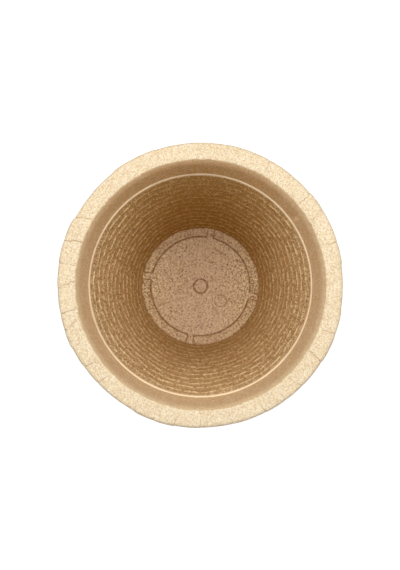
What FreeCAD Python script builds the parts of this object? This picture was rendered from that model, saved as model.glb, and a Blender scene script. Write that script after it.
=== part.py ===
"""Peat pot: a thick moulded cover pot, a thin lift-out inner pot and a drain plug.

Millimetres, +Z up. The origin is the centre of the underside, and +Y is the back of the pot.
"""

import FreeCAD, Part
import math
import os

# Cover pot, outside
POT_HEIGHT = 325.0
RIM_RADIUS = 175.0
BASE_RADIUS = 120.0
PLATE_CROWN = 1.4
PLATES_AROUND = 36
COURSES = 14
RIM_ROUND = 6.0
BASE_ROUND = 4.0

# Cover pot, inside
RIM_WIDTH = 21.1
MOUTH_ROUND = 2.5
COLLAR_DEPTH = 54.6
COLLAR_TAPER = 8.4
BASE_WALL = 19.6
COVER_FLOOR = 8.0
FOOT_HEIGHT = 4.0
FOOT_WIDTH = 16.0

# Inner pot
LINER_WALL = 2.1
LINER_FLOOR = 2.5
LINER_EDGE_ROUND = 0.8
ARC_FOOT_HEIGHT = 5.0
ARC_FOOT_WIDTH = 14.0
ARC_FEET = 4
BRIDGE_WIDTH = 11.0
BRIDGE_TURN = -11.0

# Drain plug and its seat
PLUG_HEAD_RADIUS = 11.0
PLUG_HEAD_HEIGHT = 2.0
PLUG_STEM_RADIUS = 7.5
PLUG_STEM_LENGTH = 4.5
PLUG_STEM_WALL = 2.0
PLUG_BEVEL = 0.7
SEAT_WALL = 5.0
SEAT_HEIGHT = 6.0

# Clearances between the pieces
TOP_CLEARANCE = 0.3
BAY_CLEARANCE = 3.5
PLUG_CLEARANCE = 0.3

# Overrun of every cutting tool past the face that it opens
OVERRUN = 1.0

# A rounded edge in straight steps, as shares of its size: across the flat face and along the wall
ROUND_SHARES = ((0.0, 1.0), (0.3, 0.3), (1.0, 0.0))

AXIS_START = FreeCAD.Vector(0, 0, 0)
UP = FreeCAD.Vector(0, 0, 1)
FULL_TURN = 360.0
HALF_PITCH = FULL_TURN / PLATES_AROUND / 2

# Levels and radii that follow from the sizes above
MOUTH_RADIUS = RIM_RADIUS - RIM_WIDTH
LINER_TOP = POT_HEIGHT - COLLAR_DEPTH
BAY_TOP_RADIUS = MOUTH_RADIUS - COLLAR_TAPER
BAY_FLOOR_RADIUS = BASE_RADIUS - BASE_WALL
BAY_FLOOR = FOOT_HEIGHT + COVER_FLOOR
TROUGH_FLOOR = BAY_FLOOR + LINER_FLOOR
DISC_TOP = TROUGH_FLOOR + ARC_FOOT_HEIGHT
DISC_UNDERSIDE = DISC_TOP - LINER_FLOOR
LINER_TOP_RADIUS = BAY_TOP_RADIUS - TOP_CLEARANCE
LINER_OUTER_FLOOR_RADIUS = BAY_FLOOR_RADIUS - BAY_CLEARANCE
LINER_FLOOR_RADIUS = LINER_OUTER_FLOOR_RADIUS - LINER_WALL
LINER_SLOPE = (LINER_TOP_RADIUS - LINER_OUTER_FLOOR_RADIUS) / (LINER_TOP - TROUGH_FLOOR)
PLUG_SEAT_LEVEL = DISC_TOP - PLUG_HEAD_HEIGHT


def point(radius, height):
    """A point of a profile in the XZ plane."""
    return FreeCAD.Vector(radius, 0, height)


def flat_face(corners):
    """The flat face inside a closed outline of straight edges."""
    return Part.Face(Part.makePolygon(corners + corners[:1]))


def turned(profile, angle=FULL_TURN, start=0.0):
    """The solid that a closed profile of (radius, height) points sweeps about the pot's axis."""
    face = flat_face([point(radius, height) for radius, height in profile])
    solid = face.revolve(AXIS_START, UP, angle)
    solid.rotate(AXIS_START, UP, start)
    return solid


def polar(radius, angle, height):
    """A point at a radius and an angle in degrees."""
    turn = math.radians(angle)
    return FreeCAD.Vector(radius * math.cos(turn), radius * math.sin(turn), height)


def outside_radius(height):
    """Radius of the cover pot's outside at a height, over the crests of the plates."""
    return BASE_RADIUS + (RIM_RADIUS - BASE_RADIUS) * height / POT_HEIGHT


def plain_ring(radius, height):
    """Corners of an outline between two courses, two for each plate."""
    return [polar(radius, corner * HALF_PITCH, height) for corner in range(2 * PLATES_AROUND)]


def lobed_ring(crest_radius, height):
    """Corners of an outline at the rim, where each plate's middle stands out from its joints.

    The crown shrinks with the radius, which keeps the faces between such outlines flat.
    """
    joint_radius = crest_radius * (1 - PLATE_CROWN / RIM_RADIUS)
    joint_parity = (COURSES - 1) % 2
    return [
        polar(joint_radius if corner % 2 == joint_parity else crest_radius, corner * HALF_PITCH, height)
        for corner in range(2 * PLATES_AROUND)
    ]


def rounded_edge(radius, size, inward=1):
    """The (radius, distance from the flat face) steps of a rounded edge, from the wall to the face.

    inward is 1 for an outer edge and -1 for the edge of a hole.
    """
    return [(radius - inward * size * across, size * along) for across, along in ROUND_SHARES]


def course_faces(low, high, crest_radius, crest_height, half_step):
    """The faces of one course: each plate is a shallow crown with its top at its middle."""
    faces = []
    for plate in range(PLATES_AROUND):
        first, middle, last = [(2 * plate + half_step + step) % len(low) for step in range(3)]
        crest = polar(crest_radius, (2 * plate + half_step + 1) * HALF_PITCH, crest_height)
        edge = [low[first], low[middle], low[last], high[last], high[middle], high[first]]
        for corner, corner_point in enumerate(edge):
            faces.append(flat_face([edge[corner - 1], corner_point, crest]))
    return faces


def ring_faces(low, high):
    """The flat faces between two outlines of as many corners."""
    return [
        flat_face([low[corner - 1], low[corner], high[corner], high[corner - 1]])
        for corner in range(len(low))
    ]


def cover_outside():
    """The cover pot's filled outer form: courses of crowned plates in brick bond."""
    low_level, high_level = BASE_ROUND, POT_HEIGHT - RIM_ROUND
    course_height = (high_level - low_level) / COURSES
    base_edge = rounded_edge(outside_radius(0) - PLATE_CROWN, BASE_ROUND)
    base_rings = [plain_ring(radius, distance) for radius, distance in reversed(base_edge)]
    rings = [base_rings[-1]]
    for course in range(1, COURSES):
        level = low_level + course * course_height
        rings.append(plain_ring(outside_radius(level) - PLATE_CROWN, level))
    rim_edge = rounded_edge(RIM_RADIUS, RIM_ROUND)
    rim_rings = [lobed_ring(radius, POT_HEIGHT - distance) for radius, distance in rim_edge]
    rings.append(rim_rings[0])
    faces = [flat_face(base_rings[0][::-1]), flat_face(rim_rings[-1])]
    for low, high in list(zip(base_rings, base_rings[1:])) + list(zip(rim_rings, rim_rings[1:])):
        faces += ring_faces(low, high)
    for course in range(COURSES):
        middle = low_level + (course + 0.5) * course_height
        faces += course_faces(
            rings[course], rings[course + 1], outside_radius(middle), middle, course % 2
        )
    return Part.Solid(Part.makeShell(faces))


def cover_inside():
    """What is cut out of the cover pot: the rounded mouth, the collar and the inner pot's bay."""
    mouth_edge = rounded_edge(MOUTH_RADIUS, MOUTH_ROUND, -1)
    top = POT_HEIGHT + OVERRUN
    profile = [
        (0, BAY_FLOOR),
        (BAY_FLOOR_RADIUS, BAY_FLOOR),
        (BAY_TOP_RADIUS, LINER_TOP),
        *[(radius, POT_HEIGHT - distance) for radius, distance in mouth_edge],
        (MOUTH_RADIUS + MOUTH_ROUND, top),
        (0, top),
    ]
    return turned(profile)


def make_outer_pot():
    """The thick cover pot, with its smooth collar, its floor and its foot ring."""
    recess_radius = BASE_RADIUS - PLATE_CROWN - BASE_ROUND - FOOT_WIDTH
    recess = Part.makeCylinder(recess_radius, FOOT_HEIGHT)
    return cover_outside().cut([cover_inside(), recess])


def liner_outer_radius(height):
    """Radius of the inner pot's outside at a height."""
    return LINER_TOP_RADIUS - LINER_SLOPE * (LINER_TOP - height)


def liner_shell():
    """The inner pot's tapered wall and its floor plate, with a rounded top edge."""
    inner_top = LINER_TOP_RADIUS - LINER_WALL
    profile = [
        (0, DISC_UNDERSIDE),
        (liner_outer_radius(DISC_UNDERSIDE), DISC_UNDERSIDE),
        (liner_outer_radius(LINER_TOP - LINER_EDGE_ROUND), LINER_TOP - LINER_EDGE_ROUND),
        (LINER_TOP_RADIUS - LINER_EDGE_ROUND, LINER_TOP),
        (inner_top, LINER_TOP),
        (liner_outer_radius(DISC_TOP) - LINER_WALL, DISC_TOP),
        (0, DISC_TOP),
    ]
    return turned(profile)


def arc_foot(index):
    """One hollow arc of the inner pot's foot ring, and the trough that is cut into it."""
    bridge_angle = math.degrees(BRIDGE_WIDTH / LINER_FLOOR_RADIUS)
    wall_angle = math.degrees(LINER_FLOOR / LINER_FLOOR_RADIUS)
    trough_angle = FULL_TURN / ARC_FEET - bridge_angle
    start = BRIDGE_TURN + FULL_TURN / ARC_FEET * index + bridge_angle / 2
    trough_inner = LINER_FLOOR_RADIUS - ARC_FOOT_WIDTH
    foot = turned(
        [
            (trough_inner - LINER_FLOOR, BAY_FLOOR),
            (liner_outer_radius(BAY_FLOOR), BAY_FLOOR),
            (liner_outer_radius(DISC_TOP), DISC_TOP),
            (trough_inner - LINER_FLOOR, DISC_TOP),
        ],
        trough_angle + 2 * wall_angle,
        start - wall_angle,
    )
    above = DISC_TOP + OVERRUN
    trough = turned(
        [
            (trough_inner, TROUGH_FLOOR),
            (liner_outer_radius(TROUGH_FLOOR) - LINER_WALL, TROUGH_FLOOR),
            (liner_outer_radius(above) - LINER_WALL, above),
            (trough_inner, above),
        ],
        trough_angle,
        start,
    )
    return foot, trough


def make_inner_pot():
    """The thin inner pot: wall, floor disc, four arc feet, and the seat of the plug."""
    feet, troughs = zip(*[arc_foot(index) for index in range(ARC_FEET)])
    seat_radius = PLUG_STEM_RADIUS + PLUG_CLEARANCE + SEAT_WALL
    seat = Part.makeCylinder(seat_radius, SEAT_HEIGHT, point(0, DISC_TOP - SEAT_HEIGHT))
    body = liner_shell().multiFuse(list(feet) + [seat])
    bevel_radius = PLUG_HEAD_RADIUS + PLUG_CLEARANCE + PLUG_BEVEL
    plug_hole = turned(
        [
            (0, DISC_TOP - SEAT_HEIGHT - OVERRUN),
            (PLUG_STEM_RADIUS + PLUG_CLEARANCE, DISC_TOP - SEAT_HEIGHT - OVERRUN),
            (PLUG_STEM_RADIUS + PLUG_CLEARANCE, PLUG_SEAT_LEVEL),
            (PLUG_HEAD_RADIUS + PLUG_CLEARANCE, PLUG_SEAT_LEVEL),
            (PLUG_HEAD_RADIUS + PLUG_CLEARANCE, DISC_TOP - PLUG_BEVEL),
            (bevel_radius, DISC_TOP),
            (bevel_radius, DISC_TOP + OVERRUN),
            (0, DISC_TOP + OVERRUN),
        ]
    )
    return body.cut(list(troughs) + [plug_hole])


def make_drain_plug():
    """The stopper: a flush head on a cupped stem."""
    stem_end = PLUG_SEAT_LEVEL - PLUG_STEM_LENGTH
    cup_radius = PLUG_STEM_RADIUS - PLUG_STEM_WALL
    return turned(
        [
            (0, PLUG_SEAT_LEVEL),
            (cup_radius, PLUG_SEAT_LEVEL),
            (cup_radius, stem_end),
            (PLUG_STEM_RADIUS, stem_end),
            (PLUG_STEM_RADIUS, PLUG_SEAT_LEVEL),
            (PLUG_HEAD_RADIUS, PLUG_SEAT_LEVEL),
            (PLUG_HEAD_RADIUS, DISC_TOP - PLUG_BEVEL),
            (PLUG_HEAD_RADIUS - PLUG_BEVEL, DISC_TOP),
            (0, DISC_TOP),
        ]
    )


def main():
    """Writes one STEP file for each piece."""
    os.makedirs("parts", exist_ok=True)
    pieces = {
        "outer_pot": make_outer_pot(),
        "inner_pot": make_inner_pot(),
        "drain_plug": make_drain_plug(),
    }
    for name, shape in pieces.items():
        if len(shape.Solids) != 1 or not shape.isValid():
            raise ValueError(name + " is not one valid solid")
        print(name, "volume", round(shape.Volume), "faces", len(shape.Faces))
        shape.Solids[0].exportStep("parts/" + name + ".step")


main()
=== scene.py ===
"""Looks of the peat pot: the cracked cover pot, the rippled growing pot in it, and its drain plug.

Metres, +Z up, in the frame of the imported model. +Y is the back of the pot.
"""

import bpy
import numpy as np
from mathutils import Matrix, Vector


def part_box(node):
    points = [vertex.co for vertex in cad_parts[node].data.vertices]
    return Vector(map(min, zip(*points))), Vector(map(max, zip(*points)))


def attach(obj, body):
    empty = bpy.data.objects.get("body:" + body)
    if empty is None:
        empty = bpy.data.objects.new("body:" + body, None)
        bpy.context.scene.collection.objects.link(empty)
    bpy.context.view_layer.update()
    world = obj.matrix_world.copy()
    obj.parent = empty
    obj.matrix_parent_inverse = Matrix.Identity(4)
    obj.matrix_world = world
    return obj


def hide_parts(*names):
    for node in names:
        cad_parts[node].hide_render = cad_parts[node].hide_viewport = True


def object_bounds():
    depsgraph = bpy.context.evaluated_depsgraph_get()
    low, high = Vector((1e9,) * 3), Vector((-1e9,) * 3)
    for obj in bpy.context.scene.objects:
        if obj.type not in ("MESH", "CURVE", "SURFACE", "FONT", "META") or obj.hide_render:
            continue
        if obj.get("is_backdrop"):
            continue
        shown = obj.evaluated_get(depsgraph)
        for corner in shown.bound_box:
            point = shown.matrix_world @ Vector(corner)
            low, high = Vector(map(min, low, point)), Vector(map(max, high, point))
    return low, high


bl_info = {
    "name": "Peat Pot Looks",
    "version": (1, 0, 0),
    "blender": (4, 5, 0),
    "location": "View3D > Sidebar > Peat Pot",
    "description": "Builds the looks of a moulded peat pot around its packed model",
    "category": "Object",
}

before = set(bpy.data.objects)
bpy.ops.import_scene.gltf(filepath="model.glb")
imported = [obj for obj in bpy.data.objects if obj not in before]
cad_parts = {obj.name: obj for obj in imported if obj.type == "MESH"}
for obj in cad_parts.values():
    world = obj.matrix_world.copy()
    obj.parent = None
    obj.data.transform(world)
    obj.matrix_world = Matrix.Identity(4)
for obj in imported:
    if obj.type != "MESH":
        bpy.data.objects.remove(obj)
cad_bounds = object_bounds()

FULL_TURN = 360.0
# A rounded edge in steps of its angle
ROUND_ANGLES = [share * np.pi / 2 for share in (0.0, 0.17, 0.34, 0.5, 0.67, 0.84, 1.0)]

POT_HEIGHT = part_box("outer_pot")[1].z
RIM_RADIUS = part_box("outer_pot")[1].x
LINER_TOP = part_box("inner_pot")[1].z
LINER_TOP_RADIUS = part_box("inner_pot")[1].x
BAY_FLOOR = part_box("inner_pot")[0].z
DISC_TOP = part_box("drain_plug")[1].z
PLUG_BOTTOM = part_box("drain_plug")[0].z
PLUG_HEAD_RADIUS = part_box("drain_plug")[1].x

# Cover pot
BASE_RADIUS = 0.120
BASE_ROUND = 0.004
FOOT_HEIGHT = 0.004
FOOT_WIDTH = 0.016
FOOT_EDGE = 0.0004
RECESS_EDGE = 0.001
RIM_WIDTH = 0.0221
MOUTH_RADIUS = RIM_RADIUS - RIM_WIDTH
BAY_TOP_RADIUS = 0.1455
BAY_FLOOR_RADIUS = 0.1004
COURSES = 14
PLATES = 36
# From this course down, the joints are evenly spaced
REGULAR_BELOW = 5
# Height of the fibre's unevenness, and how far apart its bumps are
COVER_ROUGH = 0.00022
COVER_ROUGH_SPACING = 0.009
# How far the rim stays under the pot's full height, which leaves room for its unevenness
RIM_SINK = 0.0006

# The rim's joints, right-hand side first and anticlockwise as seen from above. Each has its turn
# in degrees at the outer and the inner edge, how open its crack is, how far in millimetres the
# plate after it stands out, and how far in the crack goes as a share of the rim.
RIM_JOINTS = (
    (8.5, 7.5, 0.2, 0.6, 0.3), (17.3, 18.2, 0.7, 0.9, 1.0), (32.0, 29.8, 0.7, 1.2, 1.0),
    (39.8, 39.2, 0.9, 0.2, 1.0), (48.0, 49.2, 0.6, 0.1, 0.8), (60.8, 60.0, 0.7, 0.1, 0.9),
    (68.0, 68.0, 0.4, 0.2, 0.7), (79.0, 78.0, 0.3, -0.4, 0.6), (89.0, 88.0, 0.3, -0.5, 0.6),
    (99.0, 100.0, 0.3, -0.6, 0.6), (108.0, 108.5, 0.5, 0.2, 0.8), (119.0, 118.0, 0.3, 0.5, 0.7),
    (128.0, 128.0, 0.6, -0.8, 0.3), (140.0, 140.2, 0.5, -1.2, 0.4), (152.0, 148.0, 1.0, 0.9, 1.1),
    (162.0, 160.0, 1.0, 0.9, 1.1), (171.2, 171.0, 0.9, 0.0, 1.1), (181.7, 178.0, 1.0, -0.3, 1.1),
    (191.7, 191.0, 1.0, -0.1, 1.1), (199.0, 195.0, 0.8, 0.5, 1.1), (206.5, 206.3, 0.4, -0.7, 0.8),
    (215.0, 217.0, 0.9, -1.5, 0.9), (223.6, 224.8, 0.9, -1.6, 0.9), (233.0, 233.0, 0.3, -1.5, 0.8),
    (242.0, 242.0, 0.3, 0.0, 0.5), (251.0, 251.0, 0.4, 0.5, 0.6), (259.8, 259.3, 0.5, -0.3, 0.8),
    (270.0, 270.0, 0.3, -0.9, 0.5), (283.2, 283.0, 0.5, -0.4, 0.4), (297.2, 296.5, 0.6, 0.1, 0.7),
    (306.7, 306.5, 0.6, 0.2, 0.5), (315.3, 313.0, 0.8, 0.5, 1.0), (327.6, 329.2, 1.0, 1.3, 1.1),
    (340.3, 339.6, 0.8, 0.8, 0.9), (350.0, 350.0, 0.4, -0.5, 0.8), (357.0, 357.0, 0.3, -0.7, 0.5),
)
OUTER_TURNS, INNER_TURNS, OPENNESS, STAND_OUT_MM, CRACKED_TO = np.array(RIM_JOINTS).T

# Where the columns of the cover pot's mesh stand, as shares of half a plate
COLUMN_SHARES = (0.0, 0.055, 0.12, 0.2, 0.34, 0.5, 0.66, 0.8, 0.9, 0.96)
# Where the rows of a course stand, from its lower joint to its upper one
COURSE_ROWS = (-1.0, -0.94, -0.82, -0.5, -0.1, 0.3, 0.7, 0.94)
# Where the rows of the collar stand, from the mouth down to the growing pot's top
COLLAR_ROWS = (0.03, 0.08, 0.14, 0.2, 0.26, 0.32, 0.4, 0.6, 0.8, 0.93, 0.97, 1.0)
# A pale spot on the collar: turn and width in degrees, and place and height as shares of it
PALE_SPOT_TURN, PALE_SPOT_WIDTH, PALE_SPOT_PLACE, PALE_SPOT_HEIGHT, PALE_SPOT_STRENGTH = 34.6, 1.1, 0.68, 0.16, 1.4

# Growing pot
LINER_WALL = 0.0021
LINER_FLOOR = 0.0025
LINER_FOOT_RADIUS = 0.0969
LINER_SLOPE = (LINER_TOP_RADIUS - LINER_FOOT_RADIUS) / (LINER_TOP - BAY_FLOOR - LINER_FLOOR)
UNDER_DISC = DISC_TOP - LINER_FLOOR
TROUGH_DEPTH = 0.005
TROUGH_FLOOR = DISC_TOP - TROUGH_DEPTH
TROUGH_WIDTH = 0.014
TROUGH_INNER = LINER_FOOT_RADIUS - LINER_WALL - TROUGH_WIDTH
FOOT_INNER = TROUGH_INNER - LINER_FLOOR
BRIDGE_WIDTH = 0.011
BRIDGES = 4
BRIDGE_TURN = -11.0
# How much wider the wall's foot is than its slope gives, for the ragged border to stand on
BORDER_ROOM = 0.0006
SEAT_RADIUS = 0.0128
SEAT_HEIGHT = 0.006
HOLE_RADIUS = 0.0078
RECESS_RADIUS = 0.0113

# Height of the plain wall over the ripples, their number, and the least distance of two crests
PLAIN_BAND = 0.010
RIPPLE_ROWS = 13
RIPPLE_SPACING = 0.0125
# The rows of a ripple, from the crest: upwards in metres, how much of the crest is left, and the
# shares of painted highlight on its top and of painted shade under it
RIPPLE_STEPS = (
    (0.0022, 0.0, 0.0, 0.0), (0.0010, 0.4, 0.6, 0.0), (0.0, 1.0, 1.0, 0.0), (-0.0012, 0.85, 0.3, 0.0),
    (-0.0034, 0.5, 0.0, 0.3), (-0.0065, 0.2, 0.0, 0.0), (-0.0100, 0.0, 0.0, 0.0),
)

# Faint marks of the mould on the floor: a small ring, and a short arc of a wide one
RING_MARK = (0.033, -0.024, DISC_TOP)
FLOOR_MARKS = (
    {"Centre": RING_MARK, "Radius": 0.0098, "Spot": RING_MARK, "Reach": 0.02},
    {"Centre": (0.0, 0.0, DISC_TOP), "Radius": 0.065, "Spot": (0.032, 0.057, DISC_TOP), "Reach": 0.012},
)
MARK_WIDTH = 0.0018
MARK_STRENGTH = 0.9

# Drain plug
PLUG_HEAD_HEIGHT = 0.002
PLUG_BEVEL = 0.0007
PLUG_STEM_RADIUS = 0.0075
PLUG_STEM_WALL = 0.002
PLUG_EDGE = 0.0003

# Stage
FLOOR_REACH = 6.0
LAMPS = {"lamp_right": (0.9, 0.5, 1.6), "lamp_left": (-0.9, 0.5, 1.6), "lamp_above": (0.0, 0.3, 2.2)}
CAMERA_PLACE = (0.0003, -0.0050, 1.2065)
CAMERA_TARGET = (-0.0004, 0.0001, POT_HEIGHT)


def tint(red, green, blue):
    """A colour given as it looks on screen, from 0 to 255, in Blender's linear values."""
    shares = np.array((red, green, blue)) / 255
    linear = np.where(shares > 0.04045, ((shares + 0.055) / 1.055) ** 2.4, shares / 12.92)
    return tuple(float(value) for value in linear)


def colour_setting(name, description, default):
    """A colour that a user can change."""
    return bpy.props.FloatVectorProperty(
        name=name, description=description, default=default, subtype="COLOR", size=3, min=0, max=1
    )


def length_setting(name, description, default):
    """A length that a user can change."""
    return bpy.props.FloatProperty(
        name=name, description=description, default=default, min=0, subtype="DISTANCE", unit="LENGTH"
    )


class CoverPotSettings(bpy.types.PropertyGroup):
    """Sizes and colours of the thick cover pot."""

    plate_crown: length_setting("Plate crown", "How far a plate stands out over its joints", 0.0014)
    crack_depth: length_setting("Crack depth", "Depth of the cracks between the plates", 0.0009)
    rim_round: length_setting("Rim round", "Radius of the rim's outer edge", 0.0055)
    mouth_round: length_setting("Mouth round", "Radius of the rim's inner edge", 0.0022)
    fibre: colour_setting("Fibre", "Colour of the rim and the outside", tint(240, 218, 180))
    pale_grain: colour_setting("Pale grain", "Colour of the pale grains", tint(255, 244, 220))
    tan_grain: colour_setting("Tan grain", "Colour of the tan grains", tint(214, 176, 134))
    collar: colour_setting("Collar", "Colour of the smooth collar", tint(222, 186, 138))
    # Painted shade: these colours stand for the back of the collar and lip, away from the light
    damp_collar: colour_setting("Shadowed collar", "Colour of the collar's damp side", tint(211, 168, 107))
    # Painted highlight: the lip colour stands for the light on the mouth's rounded edge
    lip_highlight: colour_setting("Lip", "Colour just under the mouth", tint(252, 226, 180))
    damp_lip: colour_setting("Shadowed lip", "That colour on the damp side", tint(255, 215, 160))
    # The crack colour also paints shade along the rim's rounded outer edge
    crack: colour_setting("Crack", "Colour in the cracks", tint(164, 122, 80))


class GrowingPotSettings(bpy.types.PropertyGroup):
    """Sizes and colours of the thin inner pot."""

    ripple_depth: length_setting("Ripple depth", "How far the ripples stand out", 0.0013)
    edge_round: length_setting("Edge round", "Radius of the top edge's outer side", 0.0008)
    wall: colour_setting("Wall", "Colour of the rippled wall", tint(206, 167, 119))
    # Painted shade: the wall's colour low down and at the back
    damp_wall: colour_setting("Shadowed wall", "Colour of the wall where it is damp", tint(175, 135, 65))
    # Painted highlight: the ridge colour stands for the light on the ripple tops
    ridge: colour_setting("Ridge", "Colour of the rubbed ripple tops", tint(247, 226, 174))
    edge: colour_setting("Edge", "Colour of the pale top edge", tint(255, 233, 197))
    floor: colour_setting("Floor", "Colour of the floor", tint(233, 204, 175))
    straw_floor: colour_setting("Straw floor", "Colour of its straw patches", tint(240, 214, 158))
    pale_grain: colour_setting("Pale grain", "Colour of the straw grains", tint(253, 229, 184))
    dark_speck: colour_setting("Dark speck", "Colour of the dark specks", tint(104, 68, 42))
    # Painted shade in the creases; also the colour of the dark grains and the floor's mould marks
    crease: colour_setting("Crease", "Colour in the creases", tint(168, 114, 52))


class DrainPlugSettings(bpy.types.PropertyGroup):
    """Colours of the stopper in the floor."""

    fibre: colour_setting("Fibre", "Colour of the plug", tint(236, 206, 178))


class StageSettings(bpy.types.PropertyGroup):
    """Light, floor and camera."""

    sky: bpy.props.FloatProperty(
        name="Sky", description="Strength of the even light from all sides", default=0.385, min=0
    )
    lamp_power: bpy.props.FloatProperty(
        name="Lamp power", description="Power of each soft lamp", default=8.3, min=0, unit="POWER"
    )
    lamp_size: length_setting("Lamp size", "Width of each soft lamp", 0.9)
    lens: bpy.props.FloatProperty(
        name="Lens", description="Focal length for a 36 mm sensor", default=45.8, min=1,
        subtype="DISTANCE_CAMERA", unit="CAMERA",
    )


class PeatPotSettings(bpy.types.PropertyGroup):
    """All settings of the peat pot."""

    cover: bpy.props.PointerProperty(type=CoverPotSettings)
    growing: bpy.props.PointerProperty(type=GrowingPotSettings)
    plug: bpy.props.PointerProperty(type=DrainPlugSettings)
    stage: bpy.props.PointerProperty(type=StageSettings)


# Shapes


def eased(share):
    """A share from 0 to 1 with a soft start and end."""
    share = np.clip(share, 0, 1)
    return share * share * (3 - 2 * share)


def back_share(turns, sharpness=1.5):
    """How much turns in degrees face the pot's back, from 0 to 1."""
    return np.sin(np.radians(turns)).clip(0, 1) ** sharpness


def unevenness(turns, heights, spacing, radius, seed):
    """Seeded bumps of about -1 to 1 at turns in degrees and heights, which close around the pot."""
    chance = np.random.default_rng(seed)
    total = np.zeros(np.broadcast(turns, heights).shape)
    waves = 28
    for _ in range(waves):
        heading = chance.uniform(0, np.pi)
        pitch = 2 * np.pi / spacing * chance.uniform(0.6, 1.5)
        around = round(pitch * np.cos(heading) * radius)
        start = chance.uniform(0, 2 * np.pi)
        total += np.cos(around * np.radians(turns) + pitch * np.sin(heading) * heights + start)
    return total / np.sqrt(waves)


class Rings:
    """Rings of points around the pot, and masks at them: values from 0 to 1 for the materials."""

    def __init__(self, *masks):
        self.points = []
        self.masks = {mask: [] for mask in masks}

    def add(self, radii, turns, heights, **values):
        """Adds a ring at radii, turns in degrees and heights. Masks that aren't given are 0."""
        radii, turns, heights = np.broadcast_arrays(radii, turns, heights)
        angles = np.radians(turns)
        self.points.append(np.stack([radii * np.cos(angles), radii * np.sin(angles), heights], axis=-1))
        for mask, rows in self.masks.items():
            rows.append(np.broadcast_to(values.get(mask, 0.0), turns.shape))

    def piece(self, name, looped=False):
        """An object of the rings, each joined to the next. The ends are closed at the axis, or
        joined to each other in a looped one."""
        rings = np.array(self.points)
        points = rings.reshape(-1, 3)
        index = np.arange(len(points)).reshape(rings.shape[:2])
        if looped:
            index = np.vstack([index, index[:1]])
        ahead = np.roll(index, -1, axis=1)
        faces = np.stack([index[:-1], ahead[:-1], ahead[1:], index[1:]], axis=-1).reshape(-1, 4).tolist()
        if not looped:
            first, last = len(points), len(points) + 1
            points = np.vstack([points, rings[0].mean(axis=0), rings[-1].mean(axis=0)])
            faces += [(first, after, at) for at, after in zip(index[0].tolist(), ahead[0].tolist())]
            faces += [(at, after, last) for at, after in zip(index[-1].tolist(), ahead[-1].tolist())]
        mesh = bpy.data.meshes.new(name)
        mesh.from_pydata(points.tolist(), [], faces)
        mesh.polygons.foreach_set("use_smooth", np.ones(len(faces), bool))
        for mask, rows in self.masks.items():
            ends = [] if looped else [rows[0].mean(), rows[-1].mean()]
            values = np.append(np.array(rows).ravel(), ends).astype(np.float32)
            mesh.attributes.new(mask, "FLOAT", "POINT").data.foreach_set("value", values)
        mesh.update()
        if mesh.validate():
            raise RuntimeError(name + " has faulty faces")
        piece = bpy.data.objects.new(name, mesh)
        bpy.context.scene.collection.objects.link(piece)
        return piece


def stand_for(piece, node, body, material):
    """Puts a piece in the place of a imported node."""
    piece.data.materials.append(material)
    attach(piece, body)
    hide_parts(node)


# Cover pot


def joint_turns():
    """Turns of the plates' joints and middles: for the rim's inner edge, its outer edge, and each
    course from the top down. Low courses are more regular than the rim."""
    chance = np.random.default_rng(11)
    regular = OUTER_TURNS[0] + FULL_TURN / PLATES * np.arange(PLATES)

    def with_middles(joints):
        middles = (joints + np.append(joints[1:], joints[0] + FULL_TURN)) / 2
        return np.stack([joints, middles], axis=1).ravel()

    courses = []
    for course in range(COURSES):
        share = min(course / REGULAR_BELOW, 1)
        joints = with_middles(OUTER_TURNS * (1 - share) + regular * share)
        courses.append(joints + chance.uniform(-0.9, 0.9, 2 * PLATES) * (course > 0))
    return with_middles(INNER_TURNS), with_middles(OUTER_TURNS), np.array(courses)


def column_turns(lines):
    """Turns of all columns, from the turns of the joints and middles."""
    spans = np.arange(2 * PLATES + 1)
    columns = (spans[:-1, None] + np.array(COLUMN_SHARES)).ravel()
    return np.interp(columns, spans, np.append(lines, lines[0] + FULL_TURN))


def plate_places(parity):
    """For each column: the plate's number, and its place across the plate from -1 to 1."""
    columns = (np.arange(2 * PLATES)[:, None] + np.array(COLUMN_SHARES)).ravel() - parity
    return np.floor(columns / 2).astype(int) % PLATES, columns % 2 - 1


def plate_offsets(parity, stand_out, openness, crown):
    """How far each column stands out at the middle of a course, and how deep its crack is."""
    plate, across = plate_places(parity)
    edge = np.where(across < 0, np.roll(stand_out, 1)[plate], np.roll(stand_out, -1)[plate])
    open_here = np.where(across < 0, openness[plate], np.roll(openness, -1)[plate])
    joint = (edge + stand_out[plate]) / 2 - crown * (0.05 + 0.35 * open_here)
    share = np.abs(across) ** 6
    nearness = np.clip(1 - (1 - np.abs(across)) / COLUMN_SHARES[1], 0, 1)
    return stand_out[plate] * (1 - share) + joint * share, nearness * open_here


def add_foot(add, turns, foot_radius):
    """The recessed underside, the foot ring and the rounded edge above it."""
    recess_radius = foot_radius - BASE_ROUND - FOOT_WIDTH
    add(recess_radius * 0.5, turns, FOOT_HEIGHT)
    add(recess_radius - RECESS_EDGE, turns, FOOT_HEIGHT)
    add(recess_radius, turns, FOOT_HEIGHT - RECESS_EDGE)
    add(recess_radius, turns, FOOT_EDGE)
    add(recess_radius + FOOT_EDGE, turns, 0.0)
    add(foot_radius - BASE_ROUND, turns, 0.0)
    for angle in ROUND_ANGLES[1:-1]:
        add(foot_radius - BASE_ROUND * (1 - np.sin(angle)), turns, BASE_ROUND * (1 - np.cos(angle)))


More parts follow.
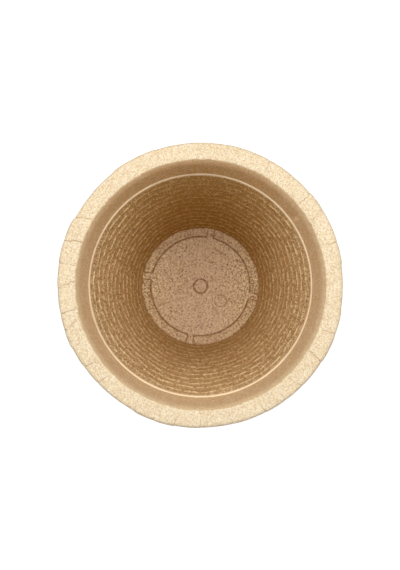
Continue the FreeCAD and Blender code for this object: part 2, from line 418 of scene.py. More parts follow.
def add_courses(add, course_lines, chance, settings):
    """The staggered courses of plates, from the lowest up. The top one has the rim's own plates."""
    low_level, high_level = BASE_ROUND, POT_HEIGHT - settings.rim_round
    course_height = (high_level - low_level) / COURSES
    for course in reversed(range(COURSES)):
        stand_out, openness = STAND_OUT_MM / 1000, OPENNESS
        if course > 0:
            stand_out = chance.normal(0, 0.0005, PLATES).clip(-0.001, 0.0008)
            openness = chance.uniform(0.3, 1, PLATES)
        offsets, notches = plate_offsets(course % 2, stand_out, openness, settings.plate_crown)
        plate, _ = plate_places(course % 2)
        tilt = chance.uniform(-0.0006, 0.0006, PLATES)[plate]
        for along in COURSE_ROWS:
            place = np.clip(course - along / 2, 0, COURSES - 1)
            upper = int(place)
            lower = min(upper + 1, COURSES - 1)
            lines = course_lines[upper] * (lower - place) + course_lines[lower] * (place - upper)
            if upper == lower:
                lines = course_lines[upper]
            turns = column_turns(lines)
            level = low_level + (COURSES - 1 - course + (along + 1) / 2) * course_height
            # The joints rise and fall a little, but for the lowest, which follows the foot
            waver = unevenness(turns, course, spacing=0.05, radius=0.15, seed=40 + course)
            height = level + 0.0008 * waver * (level > low_level)
            # The upper half of the top course runs straight into the rim, without a joint
            jointed = course > 0 or along < 0
            dome = 1 - abs(along) ** 3 if jointed else 1.0
            gap = max(0, 1 - (1 - abs(along)) / 0.06) * jointed
            offset = dome * (offsets + tilt * along) - (1 - dome) * settings.plate_crown
            depth = settings.crack_depth * np.maximum(notches * dome, 0.7 * gap)
            radius = BASE_RADIUS + (RIM_RADIUS - BASE_RADIUS) * height / POT_HEIGHT
            rough = COVER_ROUGH * unevenness(turns, height, COVER_ROUGH_SPACING, radius=0.15, seed=3)
            crack = np.maximum(notches * dome, 0.6 * gap)
            add(radius + offset + rough - depth, turns, height, crack=crack)


def add_rim(add, outer_lines, inner_lines, edge_wander, chance, settings):
    """The rim, from its outer rounded edge over the cracked top to the mouth's edge."""
    offsets, notches = plate_offsets(0, STAND_OUT_MM / 1000, OPENNESS, settings.plate_crown)
    plate, across = plate_places(0)
    reach = np.where(across < 0, CRACKED_TO[plate], np.roll(CRACKED_TO, -1)[plate])
    back = back_share(column_turns(inner_lines))
    rim_round, mouth_round = settings.rim_round, settings.mouth_round
    flat_start, flat_end = RIM_RADIUS - rim_round, MOUTH_RADIUS + mouth_round
    rows = [
        (RIM_RADIUS - rim_round * (1 - np.cos(angle)), rim_round * (1 - np.sin(angle)))
        for angle in ROUND_ANGLES[:-1]
    ]
    rows += [(radius, 0.0) for radius in np.linspace(flat_start, flat_end, 9)]
    rows += [
        (flat_end - mouth_round * np.sin(angle), mouth_round * (1 - np.cos(angle)))
        for angle in ROUND_ANGLES[1:]
    ]
    zigzag = chance.uniform(-0.35, 0.35, (len(rows), 2 * PLATES))
    for (radius, drop), bends in zip(rows, zigzag):
        share = (RIM_RADIUS - radius) / RIM_WIDTH
        lines = outer_lines * (1 - share) + inner_lines * share
        turns = column_turns(lines + bends * (0.05 < share < 0.95))
        strength = notches * eased((reach - share) * 4)
        depth = settings.crack_depth * strength
        ragged = edge_wander * eased(share * 3 - 2)
        rough = COVER_ROUGH * unevenness(turns, radius, COVER_ROUGH_SPACING, radius=0.16, seed=4)
        height = POT_HEIGHT - RIM_SINK - drop + 0.5 * np.minimum(rough, RIM_SINK) - depth
        # Colour in the cracks, and painted shade along the rim's rounded outer edge
        crack_and_edge_shade = np.maximum(strength, 0.35 * max(1 - share * 8, 0))
        # The mouth's rounded edge takes some of the lip's painted highlight colour, a little less at the
        # back
        smooth = (0.4 - 0.1 * back) * eased(share * 16 - 14.75)
        add(radius + offsets * (1 - share) + ragged, turns, height, crack=crack_and_edge_shade, collar=smooth)


def add_collar(add, turns, edge_wander, settings):
    """The smooth collar, with a painted highlight under the mouth, paler just above the growing pot, and
    with a pale spot.
    """
    collar_top = POT_HEIGHT - settings.mouth_round
    bulge = 1 - 0.3 * back_share(turns)
    for share in COLLAR_ROWS:
        height = collar_top + (LINER_TOP - collar_top) * share
        radius = MOUTH_RADIUS + (BAY_TOP_RADIUS - MOUTH_RADIUS) * share ** bulge
        ragged = edge_wander * eased(1 - share * 2)
        # Under the mouth the paleness is painted highlight, where the rounded edge catches the light
        pale = max(1 - share / 0.42, 0) ** 0.8 + 0.3 * eased(share * 14 - 13)
        aside, below = (turns - PALE_SPOT_TURN) / PALE_SPOT_WIDTH, (share - PALE_SPOT_PLACE) / PALE_SPOT_HEIGHT
        pale_spot = PALE_SPOT_STRENGTH * np.exp(-(aside**2) - below**2)
        add(radius + ragged, turns, height, collar=1 - 0.5 * (pale + pale_spot).clip(0, 1))


def add_bay(add, turns):
    """The bay behind and under the growing pot."""
    for share in (0.05, 0.3, 0.6, 0.9, 1.0):
        height = LINER_TOP + (BAY_FLOOR - LINER_TOP) * share
        add(BAY_TOP_RADIUS + (BAY_FLOOR_RADIUS - BAY_TOP_RADIUS) * share, turns, height, collar=1.0)
    for share in (0.97, 0.5):
        add(BAY_FLOOR_RADIUS * share, turns, BAY_FLOOR, collar=1.0)


def build_cover(settings):
    """The cover pot's mesh: foot, courses of plates, cracked rim, collar and bay."""
    chance = np.random.default_rng(5)
    inner_lines, outer_lines, course_lines = joint_turns()
    rings = Rings("crack", "collar", "damp")

    def add(radii, turns, heights, **values):
        """Adds a ring. Shade is painted on the back of the collar and the lip."""
        rings.add(radii, turns, heights, damp=back_share(turns), **values)

    turns = column_turns(inner_lines)
    edge_wander = 0.0006 * np.cos(np.radians(turns)) - 0.0003
    edge_wander = edge_wander + 0.0004 * unevenness(turns, 0, spacing=0.006, radius=0.154, seed=8)
    add_foot(add, column_turns(course_lines[-1]), BASE_RADIUS - settings.plate_crown)
    add_courses(add, course_lines, chance, settings)
    add_rim(add, outer_lines, inner_lines, edge_wander, chance, settings)
    add_collar(add, turns, edge_wander, settings)
    add_bay(add, turns)
    return rings.piece("cover_pot")


# Growing pot


def growing_columns():
    """Turns of the mesh's columns, and whether each is in a trough, in a foot and at a trough's
    end. A close pair of columns stands at each end of a trough and of a foot."""
    inside = LINER_FOOT_RADIUS - LINER_WALL
    trough_end = np.degrees(BRIDGE_WIDTH / 2 / inside)
    foot_end = trough_end - np.degrees(LINER_FLOOR / inside)
    centres = BRIDGE_TURN + FULL_TURN / BRIDGES * np.arange(BRIDGES)
    ends = np.concatenate([centres + side * end for side in (-1, 1) for end in (trough_end, foot_end)])

    def nearest(turns, marks):
        half = FULL_TURN / 2
        return np.abs((turns[:, None] - marks + half) % FULL_TURN - half).min(axis=1)

    turns = np.arange(0, FULL_TURN, 0.5)
    pairs = np.concatenate([ends - 0.12, ends + 0.12]) % FULL_TURN
    turns = np.sort(np.concatenate([turns[nearest(turns, ends) > 0.3], pairs]))
    from_bridge = nearest(turns, centres)
    at_end = np.abs(from_bridge - trough_end) < 0.75
    return turns, from_bridge > trough_end, from_bridge > foot_end, at_end


def outer_radius(height):
    """Radius of the growing pot's outside at a height."""
    return LINER_TOP_RADIUS - LINER_SLOPE * (LINER_TOP - height)


def ripple_rows(turns, ripple_depth):
    """Radius, height, painted highlight and painted shade of the rippled wall's rows, from the top down.
    """
    chance = np.random.default_rng(21)

    def waver(spacing, seed, heights=0):
        return unevenness(turns, heights, spacing, radius=0.12, seed=seed)

    top = LINER_TOP - PLAIN_BAND
    pitch = (top - DISC_TOP) / RIPPLE_ROWS
    shared_waver = 0.0018 * waver(0.07, 31)
    back, front = back_share(turns, 4), np.sin(np.radians(-turns)).clip(0, 1)
    rows = []
    above = np.full(turns.shape, LINER_TOP)
    for course in range(RIPPLE_ROWS):
        start = course % 2 * 0.5 + chance.uniform(-0.1, 0.1)
        place = turns / FULL_TURN * PLATES + start + 0.12 * waver(0.05, 60 + course)
        dash = np.floor(place).astype(int) % PLATES
        across = place % 1 * 2 - 1
        inside = 0.1 + 0.9 * eased((0.98 - np.abs(across)) / 0.3)
        plain = 1 - 0.8 * back * (1 - 0.7 * course / RIPPLE_ROWS) - 0.2 * front
        strength = chance.uniform(0.62, 1.08, PLATES)[dash] * inside * plain
        strength = strength * (1 + 0.22 * waver(0.008, 120 + course))
        strength = np.clip(strength, 0, 1.4) * (1 - 0.42 * course / RIPPLE_ROWS)
        crest = top - (course + 0.35) * pitch + shared_waver
        crest = crest + 0.0011 * waver(0.03, 80 + course)
        lean = chance.uniform(-0.0020, 0.0020, PLATES)[dash] * across
        shift = lean + chance.uniform(-0.0018, 0.0018, PLATES)[dash]
        crest = crest + shift * eased((1 - np.abs(across)) * 3)
        crest = np.minimum(crest, above - RIPPLE_SPACING)
        above = crest
        for rise, left, ridge, shade in RIPPLE_STEPS:
            height = crest + rise
            wall = LINER_TOP_RADIUS - LINER_WALL - LINER_SLOPE * (LINER_TOP - height)
            radius = wall - ripple_depth * left * strength + 0.00012 * waver(0.006, 6, height)
            rows.append((radius, height, ridge * strength, shade * strength))
    return rows


def add_outside(add, in_foot, edge_round):
    """The plug's seat from below, the underside, the feet and the outside."""
    add(HOLE_RADIUS, DISC_TOP - SEAT_HEIGHT)
    add(SEAT_RADIUS, DISC_TOP - SEAT_HEIGHT)
    for radius in (SEAT_RADIUS, FOOT_INNER * 0.5, FOOT_INNER):
        add(radius, UNDER_DISC)
    foot_level = np.where(in_foot, BAY_FLOOR, UNDER_DISC)
    add(FOOT_INNER, foot_level)
    add((FOOT_INNER + outer_radius(foot_level)) / 2, foot_level)
    for share in (0.0, 0.1, 0.3, 0.5, 0.7, 0.9, 0.985, 0.994):
        level = foot_level + (LINER_TOP - edge_round - foot_level) * share
        # A little painted shade on the outside
        add(outer_radius(level), level, damp=0.3, straw=0.1)


def add_top_edge(add, sides, edge_round):
    """The pale top edge, and the plain wall under it. At the sides its pale colour reaches less far down
    the inner corner, and a little shade is painted under it.
    """
    for angle in ROUND_ANGLES:
        radius = LINER_TOP_RADIUS - edge_round * (1 - np.cos(angle))
        add(radius, LINER_TOP - edge_round * (1 - np.sin(angle)), edge=min(3 * angle / np.pi, 1.0))
    lighter = 0.3 + 0.7 * (1 - sides)
    # A little painted shade under the pale edge at the sides
    for inwards, drop, edge, crease in (
        (-0.0002, 0.0, 1.0, 0.0),
        (0.0, 0.0003, 1.0, 0.0),
        (0.0003, 0.0014, 1.0, 0.0),
        (0.0003, 0.0024, 0.5 + 0.5 * lighter, 0.0),
        (0.0003, 0.0034, 0.7 * lighter, 0.3 * (1 - lighter)),
        (LINER_SLOPE * 0.0045, 0.0045, 0.0, 0.0),
        (LINER_SLOPE * 0.007, 0.007, 0.0, 0.0),
    ):
        add(LINER_TOP_RADIUS - LINER_WALL - inwards, LINER_TOP - drop, edge=edge, crease=crease)


def add_floor(add, turns, in_trough, at_end, back, sides):
    """The floor from its ragged border inwards: troughs and bridges, their dark line of painted shade,
    and the disc.
    """
    lump = (0.0008 + 0.0009 * sides) * unevenness(turns, 0, spacing=0.009, radius=0.095, seed=90)
    corner = outer_radius(DISC_TOP) - LINER_WALL + BORDER_ROOM + lump
    add(corner, DISC_TOP + 0.0012)
    # Painted shade in the corner at the wall's foot
    add(corner - 0.0006, DISC_TOP + 0.0002, floor=0.5, crease=0.4)
    level = np.where(in_trough, TROUGH_FLOOR, DISC_TOP)
    start = np.where(in_trough, outer_radius(TROUGH_FLOOR) - LINER_WALL + BORDER_ROOM, corner - 0.0012)
    straw = 0.3 + 0.7 * sides
    # Painted shade over the troughs, most at their ends
    trough_shade = 0.2 + 0.7 * at_end
    add(start, level, floor=1.0, crease=np.maximum(0.6 * in_trough, at_end), straw=straw)
    for share in (0.12, 0.35, 0.6, 0.82):
        add(start + (TROUGH_INNER - start) * share, level, floor=1.0, crease=trough_shade, straw=straw)
    shaded = np.maximum(trough_shade, 0.7 * in_trough)
    add(TROUGH_INNER + 0.0020, level, floor=1.0, crease=shaded, straw=straw)
    # The dark line at the trough's inner step is painted shade, stronger at the back
    line = in_trough * (0.8 + 0.2 * back)
    for outwards, rim_level, crease in (
        (0.0012, TROUGH_FLOOR + 0.0004, line),
        (-0.0002, DISC_TOP - 0.0006, line),
        (-0.0010, DISC_TOP, 0.6 * line),
    ):
        add(TROUGH_INNER + outwards, np.where(in_trough, rim_level, DISC_TOP), floor=1.0, crease=crease)
    for radius in np.linspace(TROUGH_INNER - 0.0022, 0.0155, 26):
        swell = 0.00012 * unevenness(turns, radius, spacing=0.02, radius=0.08, seed=91)
        straw = 0.15 + 0.6 * sides * (radius / TROUGH_INNER) ** 2
        add(radius, DISC_TOP + np.minimum(swell, 0), floor=1.0, straw=straw)


def add_recess(add):
    """The plug's recess with its shaded bevel, down to the hole."""
    for radius, depth, crease in (
        (RECESS_RADIUS + PLUG_BEVEL + 0.0014, 0.0, 0.0),
        (RECESS_RADIUS + PLUG_BEVEL + 0.0005, 0.0001, 1.0),
        (RECESS_RADIUS, PLUG_BEVEL, 1.0),
        (RECESS_RADIUS, PLUG_HEAD_HEIGHT, 1.0),
        (HOLE_RADIUS, PLUG_HEAD_HEIGHT, 0.0),
    ):
        add(radius, DISC_TOP - depth, floor=1.0, crease=crease)


def build_growing_pot(settings):
    """The growing pot's mesh, from the plug's hole under the floor, up outside and down inside."""
    turns, in_trough, in_foot, at_end = growing_columns()
    rings = Rings("ridge", "floor", "crease", "edge", "damp", "straw")
    back, sides = back_share(turns), np.cos(np.radians(turns)) ** 2

    def add(radii, heights, **values):
        """Adds a ring. Shade is painted on the wall low down and at the back, and the wall is strawy
        high at the sides.
        """
        depth = (LINER_TOP - heights) / (LINER_TOP - DISC_TOP)
        damp = np.clip(0.6 * depth + 0.7 * back, 0, 1) * (1 - values.get("floor", 0.0))
        straw = 0.6 * sides * np.clip(1 - 1.2 * depth, 0, 1)
        rings.add(radii, turns, heights, **{"damp": damp, "straw": straw, **values})

    add_outside(add, in_foot, settings.edge_round)
    add_top_edge(add, sides, settings.edge_round)
    for radius, height, ridge, shade in ripple_rows(turns, settings.ripple_depth):
        add(radius, height, ridge=ridge, crease=shade)
    add_floor(add, turns, in_trough, at_end, back, sides)
    add_recess(add)
    return rings.piece("growing_pot", looped=True)


# Drain plug


def build_plug():
    """The stopper's mesh: cupped stem below, flush head with a bevelled edge above."""
    turns = np.arange(0, FULL_TURN, 2.5)
    seat = DISC_TOP - PLUG_HEAD_HEIGHT
    cup = PLUG_STEM_RADIUS - PLUG_STEM_WALL
    bevel = PLUG_HEAD_RADIUS - PLUG_BEVEL
    rings = Rings("crease")
    # The crease mask paints shade on the head's side and bevel
    for radius, height, crease in (
        (cup * 0.5, seat, 0.0),
        (cup, seat, 0.0),
        (cup, PLUG_BOTTOM + PLUG_EDGE, 0.0),
        (cup + PLUG_EDGE, PLUG_BOTTOM, 0.0),
        (PLUG_STEM_RADIUS - PLUG_EDGE, PLUG_BOTTOM, 0.0),
        (PLUG_STEM_RADIUS, PLUG_BOTTOM + PLUG_EDGE, 0.0),
        (PLUG_STEM_RADIUS, seat, 0.0),
        (PLUG_HEAD_RADIUS - PLUG_EDGE, seat, 0.0),
        (PLUG_HEAD_RADIUS, seat + PLUG_EDGE, 0.5),
        (PLUG_HEAD_RADIUS, DISC_TOP - PLUG_BEVEL, 1.0),
        (bevel, DISC_TOP - 0.0001, 1.0),
        (bevel - 0.0012, DISC_TOP, 0.0),
        (PLUG_HEAD_RADIUS * 0.7, DISC_TOP, 0.0),
        (PLUG_HEAD_RADIUS * 0.35, DISC_TOP, 0.0),
    ):
        rings.add(radius, turns, height, crease=crease)
    return rings.piece("stopper")


# Finishes


class Graph:
    """Short calls that place and join the nodes of a material or a node group."""

    def __init__(self, tree):
        self.tree = tree

    def node(self, kind, inputs=None, **settings):
        """Places a node with its settings, and fills or joins its inputs. Colours have no alpha."""
        placed = self.tree.nodes.new(kind)
        for setting, value in settings.items():
            setattr(placed, setting, value)
        for name, value in (inputs or {}).items():
            socket = placed.inputs[name]
            if isinstance(value, bpy.types.NodeSocket):
                self.tree.links.new(value, socket)
            else:
                socket.default_value = (*value, 1.0) if socket.type == "RGBA" else value
        return placed

    def step(self, value, start, end):
        """0 below start, 1 above end, and soft between them."""
        return self.node(
            "ShaderNodeMapRange", {"Value": value, "From Min": start, "From Max": end},
            interpolation_type="SMOOTHSTEP",
        ).outputs["Result"]

    def math(self, operation, first, second=0.0):
        """A sum, product or other operation on two values."""
        return self.node("ShaderNodeMath", {0: first, 1: second}, operation=operation).outputs[0]

    def line(self, value, start, slope):
        """The start, and slope times the value on top."""
        return self.math("ADD", start, self.math("MULTIPLY", value, slope))

    def blend(self, share, first, second, mode="MIX"):
        """Two colours mixed by a share."""
        inputs = {"Factor": share, "A": first, "B": second}
        return self.node("ShaderNodeMix", inputs, data_type="RGBA", blend_type=mode).outputs["Result"]

    def mask(self, name):
        """A mask of the mesh."""
        return self.node("ShaderNodeAttribute", attribute_name=name).outputs["Fac"]

    def place(self):
        """The place of a point in its own piece."""
        return self.node("ShaderNodeTexCoord").outputs["Object"]

    def distance(self, point):
        """The distance from a point."""
        inputs = {0: self.place(), 1: point}
        return self.node("ShaderNodeVectorMath", inputs, operation="DISTANCE").outputs["Value"]

    def noise(self, scale, detail):
        """Soft noise from 0 to 1."""
        inputs = {"Vector": self.place(), "Scale": scale, "Detail": detail}
        return self.node("ShaderNodeTexNoise", inputs).outputs["Fac"]

    def cells(self, place, scale):
        """Cells of a net: the distance from their middles, and three chances of each cell."""
        net = self.node("ShaderNodeTexVoronoi", {"Vector": place, "Scale": scale}).outputs
        return net["Distance"], self.node("ShaderNodeSeparateColor", {"Color": net["Color"]}).outputs

    def effect(self, name, inputs):
        """Places a shared node group, building it on its first use."""
        group = bpy.data.node_groups.get(name) or GROUPS[name]()
        return self.node("ShaderNodeGroup", inputs, node_tree=group).outputs


def new_group(name, inputs, outputs):
    """A node group with named inputs and outputs. Gives its graph and its inputs."""
    group = bpy.data.node_groups.new(name, "ShaderNodeTree")
    for side, sockets in (("INPUT", inputs), ("OUTPUT", outputs)):
        for socket, kind in sockets.items():
            group.interface.new_socket(socket, in_out=side, socket_type="NodeSocket" + kind)
    graph = Graph(group)
    return graph, graph.node("NodeGroupInput").outputs


def pressed_fibre_group():
    """Pressed fibre: fine grains of two colours over a base colour, a slow mottle, and its height.
    An upright factor under 1 draws the grains out along that axis."""
    graph, given = new_group(
        "pressed_fibre",
        {
            "Base": "Color", "Pale": "Color", "Pale share": "Float", "Dark": "Color",
            "Dark share": "Float", "Grain scale": "Float", "Upright": "Vector", "Contrast": "Float",
            "Mottle": "Float", "Grain shade": "Float",
        },
        {"Color": "Color", "Height": "Float"},
    )
    drawn = {0: graph.place(), 1: given["Upright"]}
    drawn = graph.node("ShaderNodeVectorMath", drawn, operation="MULTIPLY").outputs["Vector"]
    _, chance = graph.cells(drawn, given["Grain scale"])
    pale = graph.math("GREATER_THAN", chance[0], graph.math("SUBTRACT", 1.0, given["Pale share"]))
    dark = graph.math("GREATER_THAN", chance[1], graph.math("SUBTRACT", 1.0, given["Dark share"]))
    slow = graph.math("SUBTRACT", graph.noise(28.0, 3.0), 0.5)
    swing = graph.math("ADD", slow, graph.math("SUBTRACT", graph.noise(140.0, 2.0), 0.5))
    shade = graph.line(swing, 1.0, given["Mottle"])
    shade = graph.line(graph.math("SUBTRACT", chance[2], 0.5), shade, given["Grain shade"])
    warm = {0: shade, 1: graph.math("POWER", shade, 1.33), 2: graph.math("POWER", shade, 1.7)}
    shade = graph.node("ShaderNodeCombineColor", warm).outputs[0]
    colour = graph.blend(1.0, given["Base"], shade, "MULTIPLY")
    colour = graph.blend(graph.math("MULTIPLY", pale, given["Contrast"]), colour, given["Pale"])
    colour = graph.blend(graph.math("MULTIPLY", dark, given["Contrast"]), colour, given["Dark"])
    height = graph.line(chance[2], graph.noise(420.0, 4.0), 0.35)
    height = graph.math("MULTIPLY", height, given["Contrast"])
    graph.node("NodeGroupOutput", {"Color": colour, "Height": height})
    return graph.tree


def scattered_specks_group():
    """Scattered specks: small round marks on a colour, in a share of the cells of a wide net."""
    graph, given = new_group(
        "scattered_specks",
        {"Color": "Color", "Speck": "Color", "Net scale": "Float", "Share": "Float", "Size": "Float"},
        {"Color": "Color"},
    )
    distance, chance = graph.cells(graph.place(), given["Net scale"])
    reach = graph.math("MULTIPLY", given["Size"], graph.math("ADD", chance[1], 0.5))
    reach = graph.math("MULTIPLY", reach, graph.math("ADD", graph.noise(180.0, 1.0), 0.5))
    near = graph.math("LESS_THAN", distance, reach)
    picked = graph.math("GREATER_THAN", chance[0], graph.math("SUBTRACT", 1.0, given["Share"]))
    colour = graph.blend(graph.math("MULTIPLY", near, picked), given["Color"], given["Speck"])
    graph.node("NodeGroupOutput", {"Color": colour})
    return graph.tree


def crease_colour_group():
    """Painted shade in creases, and the colour of cracks and marks: a colour where a mask is high,
    broken up by grain.
    """
    graph, given = new_group(
        "crease_colour",
        {"Color": "Color", "Crease": "Color", "Mask": "Float", "Strength": "Float"},
        {"Color": "Color"},
    )
    share = graph.math("MULTIPLY", given["Mask"], graph.step(graph.noise(260.0, 2.0), 0.25, 0.6))
    share = graph.math("MULTIPLY", share, given["Strength"])
    colour = graph.blend(share, given["Color"], given["Crease"])
    graph.node("NodeGroupOutput", {"Color": colour})
    return graph.tree


def pressed_ring_group():
    """A faint ring pressed into a flat face: a mask around a centre, within a reach of a spot."""
    graph, given = new_group(
        "pressed_ring",
        {"Centre": "Vector", "Radius": "Float", "Width": "Float", "Spot": "Vector", "Reach": "Float"},
        {"Mask": "Float"},
    )
    off_line = graph.math("SUBTRACT", graph.distance(given["Centre"]), given["Radius"])
    off_line = graph.math("ABSOLUTE", off_line)
    line = graph.math("SUBTRACT", 1.0, graph.step(off_line, 0.0, given["Width"]))
    within = graph.math("LESS_THAN", graph.distance(given["Spot"]), given["Reach"])
    graph.node("NodeGroupOutput", {"Mask": graph.math("MULTIPLY", line, within)})
    return graph.tree


GROUPS = {
    "pressed_ring": pressed_ring_group,
    "pressed_fibre": pressed_fibre_group,
    "scattered_specks": scattered_specks_group,
    "crease_colour": crease_colour_group,
}


def cleared_graph(owner):
    """The emptied node graph of a material or a world."""
    owner.use_nodes = True
    owner.node_tree.nodes.clear()
    return Graph(owner.node_tree)


def matte_surface(graph, colour, height, roughness, bump):
    """Ends a material's graph in a matte surface."""
    relief = graph.node("ShaderNodeBump", {"Height": height, "Strength": bump, "Distance": 0.0006})
    surface = graph.node("ShaderNodeBsdfPrincipled", {
        "Base Color": colour, "Roughness": roughness, "Specular IOR Level": 0.25,
        "Normal": relief.outputs["Normal"],
    })
    graph.node("ShaderNodeOutputMaterial", {"Surface": surface.outputs["BSDF"]})


def rough_fibre(settings):
    """Cream sandy fibre with tan cracks outside, and a smooth tan collar inside."""
    material = bpy.data.materials.new("rough_fibre")
    graph = cleared_graph(material)
    # Painted shade on the back of the collar and lip
    collar, damp = graph.mask("collar"), graph.mask("damp")
    tan = graph.blend(damp, settings.collar, settings.damp_collar)
    # Painted highlight in the band under the mouth
    lip_highlight = graph.blend(damp, settings.lip_highlight, settings.damp_lip)
    base = graph.blend(graph.step(collar, 0.5, 1.0), lip_highlight, tan)
    base = graph.blend(graph.step(collar, 0.0, 0.5), settings.fibre, base)
    contrast = graph.line(collar, 0.64, -0.16)
    fibre = graph.effect("pressed_fibre", {
        "Base": base, "Pale": settings.pale_grain, "Pale share": 0.28,
        "Dark": settings.tan_grain, "Dark share": 0.2, "Grain scale": 860.0,
        "Upright": (1.0, 1.0, 1.0), "Contrast": contrast, "Mottle": 0.14, "Grain shade": 0.16,
    })
    specked = graph.effect("scattered_specks", {
        "Color": fibre["Color"], "Speck": settings.crack, "Net scale": 110.0,
        "Share": graph.math("MULTIPLY", contrast, 0.2), "Size": 0.07,
    })
    creased = graph.effect("crease_colour", {
        "Color": specked["Color"], "Crease": settings.crack, "Mask": graph.mask("crack"),
        "Strength": 0.85,
    })
    matte_surface(graph, creased["Color"], fibre["Height"], roughness=0.92, bump=0.5)
    return material


def rippled_fibre(settings):
    """Tan fibre with painted highlight on the ripple tops, painted shade, a pale top edge, and a specked
    pinkish floor.
    """
    material = bpy.data.materials.new("rippled_fibre")
    graph = cleared_graph(material)
    floor, ridge, edge = graph.mask("floor"), graph.mask("ridge"), graph.mask("edge")
    damp, straw = graph.mask("damp"), graph.mask("straw")
    # Painted shade: a darker, warmer wall low down and at the back
    wall = graph.blend(damp, settings.wall, settings.damp_wall)
    flat = graph.blend(graph.math("MULTIPLY", straw, 0.6), settings.floor, settings.straw_floor)
    base = graph.blend(floor, wall, flat)
    base = graph.blend(edge, base, settings.edge)
    # Painted highlight on the ripple tops
    base = graph.blend(graph.math("MINIMUM", ridge, 1.0), base, settings.ridge)
    # The grain is lively on the floor, most in its straw patches, and calm where shade is painted on the
    # wall
    calm = graph.math("MULTIPLY", damp, 0.45)
    calm = graph.math("MAXIMUM", graph.math("MULTIPLY", edge, 1.18), calm)
    lively = graph.line(floor, 0.65, graph.line(straw, 0.15, 0.3))
    contrast = graph.line(calm, lively, -0.55)
    fibre = graph.effect("pressed_fibre", {
        "Base": base, "Pale": settings.pale_grain, "Pale share": graph.line(straw, 0.12, 0.3),
        "Dark": settings.crease, "Dark share": 0.05, "Grain scale": 760.0,
        "Upright": (1.0, 1.0, 0.33), "Contrast": contrast,
        "Mottle": graph.line(floor, 0.16, -0.1),
        "Grain shade": graph.math("MULTIPLY", contrast, graph.line(straw, 0.5, 0.7)),
    })
    marks = 0.0
    for mark in FLOOR_MARKS:
        ring = graph.effect("pressed_ring", dict(mark, Width=MARK_WIDTH))
        marks = graph.line(ring["Mask"], marks, MARK_STRENGTH)
    specked = graph.effect("scattered_specks", {
        "Color": fibre["Color"], "Speck": settings.dark_speck, "Net scale": 620.0,
        "Share": graph.math("MULTIPLY", contrast, graph.line(straw, 0.12, 0.6)), "Size": 0.32,
    })
    creased = graph.effect("crease_colour", {
        "Color": specked["Color"], "Crease": settings.crease,
        "Mask": graph.math("MAXIMUM", graph.mask("crease"), marks), "Strength": 0.85,
    })
    matte_surface(graph, creased["Color"], fibre["Height"], roughness=0.9, bump=0.45)
    return material


def plug_fibre(settings, growing):
    """The floor's pinkish fibre on the plug."""
    material = bpy.data.materials.new("plug_fibre")
    graph = cleared_graph(material)
    fibre = graph.effect("pressed_fibre", {
        "Base": settings.fibre, "Pale": growing.pale_grain, "Pale share": 0.15,
        "Dark": growing.crease, "Dark share": 0.1, "Grain scale": 700.0,
        "Upright": (1.0, 1.0, 1.0), "Contrast": 0.6, "Mottle": 0.15, "Grain shade": 0.25,
    })
    creased = graph.effect("crease_colour", {
        "Color": fibre["Color"], "Crease": growing.crease, "Mask": graph.mask("crease"),
        "Strength": 0.9,
    })
    matte_surface(graph, creased["Color"], fibre["Height"], roughness=0.9, bump=0.35)
    return material


# Stage


def seen_directly(graph):
    """1 where the camera, gloss or glass shows a surface, and 0 where it only lights the pot."""
    rays = graph.node("ShaderNodeLightPath").outputs
    shown = graph.math("MAXIMUM", rays["Is Camera Ray"], rays["Is Glossy Ray"])
    return graph.math("MAXIMUM", shown, rays["Is Transmission Ray"])


def white_floor_material():
    """A white floor that looks plain white to the camera and keeps a faint shadow."""
    material = bpy.data.materials.new("white_floor")
    graph = cleared_graph(material)
    paint = graph.node("ShaderNodeBsdfDiffuse", {"Color": (0.42, 0.42, 0.42)})
    # Near the pot the glow leaves room for the light on the floor, and so for the shadow in it
    level = graph.line(graph.step(graph.distance((0.0, 0.0, 0.0)), 0.5, 2.0), 0.8, 0.2)
    strength = graph.math("MULTIPLY", seen_directly(graph), level)
    glow = graph.node("ShaderNodeEmission", {"Strength": strength})
    both = graph.node("ShaderNodeAddShader", {0: paint.outputs["BSDF"], 1: glow.outputs["Emission"]})
    graph.node("ShaderNodeOutputMaterial", {"Surface": both.outputs["Shader"]})
    return material


def light_sky(strength):
    """An even white sky, which the camera sees as plain white."""
    world = bpy.data.worlds.new("studio_sky")
    bpy.context.scene.world = world
    graph = cleared_graph(world)
    level = graph.node("ShaderNodeMix", {"Factor": seen_directly(graph), "A": strength, "B": 1.0})
    white = {"Color": (1.0, 1.0, 1.0), "Strength": level.outputs["Result"]}
    sky = graph.node("ShaderNodeBackground", white)
    graph.node("ShaderNodeOutputWorld", {"Surface": sky.outputs["Background"]})


def aimed(place, target, up):
    """The place and turn of something that looks from place at target."""
    place, target = Vector(place), Vector(target)
    ahead = (target - place).normalized()
    side = ahead.cross(Vector(up)).normalized()
    turn = Matrix((side, side.cross(ahead), -ahead)).transposed()
    return Matrix.Translation(place) @ turn.to_4x4()


def soft_lamp(name, place, settings):
    """A large round lamp aimed at the pot's mouth."""
    light = bpy.data.lights.new(name, "AREA")
    light.shape = "DISK"
    light.size = settings.lamp_size
    light.energy = settings.lamp_power
    lamp = bpy.data.objects.new(name, light)
    lamp.matrix_world = aimed(place, (0, 0, POT_HEIGHT), up=(0, 0, 1))
    bpy.context.scene.collection.objects.link(lamp)


# Operators


class PEATPOT_OT_cover_pot(bpy.types.Operator):
    """Builds the cracked cover pot"""

    bl_idname = "peat_pot.cover_pot"
    bl_label = "Cover Pot"

    def execute(self, context):
        settings = context.scene.peat_pot.cover
        stand_for(build_cover(settings), "outer_pot", "cover", rough_fibre(settings))
        return {"FINISHED"}


class PEATPOT_OT_growing_pot(bpy.types.Operator):
    """Builds the rippled growing pot"""

    bl_idname = "peat_pot.growing_pot"
    bl_label = "Growing Pot"

    def execute(self, context):
        settings = context.scene.peat_pot.growing
        piece = build_growing_pot(settings)
        stand_for(piece, "inner_pot", "liner", rippled_fibre(settings))
        return {"FINISHED"}


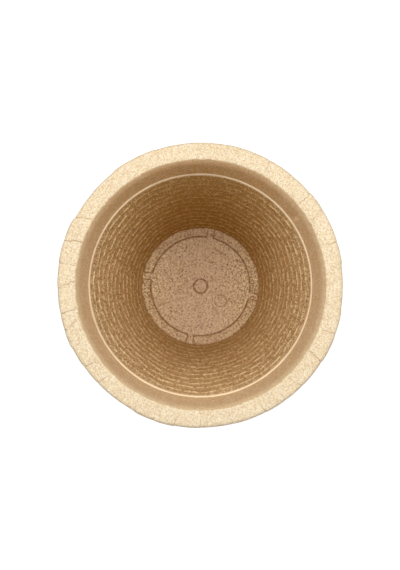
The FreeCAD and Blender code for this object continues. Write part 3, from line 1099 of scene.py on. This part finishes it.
class PEATPOT_OT_drain_plug(bpy.types.Operator):
    """Builds the stopper in the floor"""

    bl_idname = "peat_pot.drain_plug"
    bl_label = "Drain Plug"

    def execute(self, context):
        settings = context.scene.peat_pot
        material = plug_fibre(settings.plug, settings.growing)
        stand_for(build_plug(), "drain_plug", "plug", material)
        return {"FINISHED"}


class PEATPOT_OT_stage(bpy.types.Operator):
    """Sets up the floor, the light and the camera"""

    bl_idname = "peat_pot.stage"
    bl_label = "Stage"

    def execute(self, context):
        scene, settings = context.scene, context.scene.peat_pot.stage
        mesh = bpy.data.meshes.new("floor")
        square = ((-1, -1), (1, -1), (1, 1), (-1, 1))
        mesh.from_pydata([(x * FLOOR_REACH, y * FLOOR_REACH, 0) for x, y in square], [], [(0, 1, 2, 3)])
        mesh.materials.append(white_floor_material())
        floor = bpy.data.objects.new("floor", mesh)
        scene.collection.objects.link(floor)
        floor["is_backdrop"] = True
        light_sky(settings.sky)
        for name, place in LAMPS.items():
            soft_lamp(name, place, settings)
        camera_data = bpy.data.cameras.new("camera")
        camera_data.lens = settings.lens
        camera = bpy.data.objects.new("camera", camera_data)
        camera.matrix_world = aimed(CAMERA_PLACE, CAMERA_TARGET, up=(0, 1, 0))
        scene.collection.objects.link(camera)
        scene.camera = camera
        scene.view_settings.view_transform = "Standard"
        return {"FINISHED"}


class PEATPOT_PT_panel(bpy.types.Panel):
    """Lists the pieces and their settings"""

    bl_label = "Peat Pot"
    bl_space_type = "VIEW_3D"
    bl_region_type = "UI"
    bl_category = "Peat Pot"

    def draw(self, context):
        settings = context.scene.peat_pot
        for operator, part in (
            (PEATPOT_OT_cover_pot, settings.cover),
            (PEATPOT_OT_growing_pot, settings.growing),
            (PEATPOT_OT_drain_plug, settings.plug),
            (PEATPOT_OT_stage, settings.stage),
        ):
            box = self.layout.box()
            for name in part.__annotations__:
                box.prop(part, name)
            box.operator(operator.bl_idname)


CLASSES = (
    CoverPotSettings,
    GrowingPotSettings,
    DrainPlugSettings,
    StageSettings,
    PeatPotSettings,
    PEATPOT_OT_cover_pot,
    PEATPOT_OT_growing_pot,
    PEATPOT_OT_drain_plug,
    PEATPOT_OT_stage,
    PEATPOT_PT_panel,
)


def register():
    """Registers the settings, operators and panel."""
    for part in CLASSES:
        bpy.utils.register_class(part)
    bpy.types.Scene.peat_pot = bpy.props.PointerProperty(type=PeatPotSettings)


def unregister():
    """Removes them again."""
    del bpy.types.Scene.peat_pot
    for part in reversed(CLASSES):
        bpy.utils.unregister_class(part)


def main():
    """Builds everything and works out the two sizes."""
    register()
    bpy.ops.peat_pot.stage()
    bpy.ops.peat_pot.cover_pot()
    bpy.ops.peat_pot.growing_pot()
    bpy.ops.peat_pot.drain_plug()
    sizes = {"cad": cad_bounds, "visual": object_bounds()}
    sizes = {name: [list(corner) for corner in bounds] for name, bounds in sizes.items()}


if __name__ == "__main__":
    main()
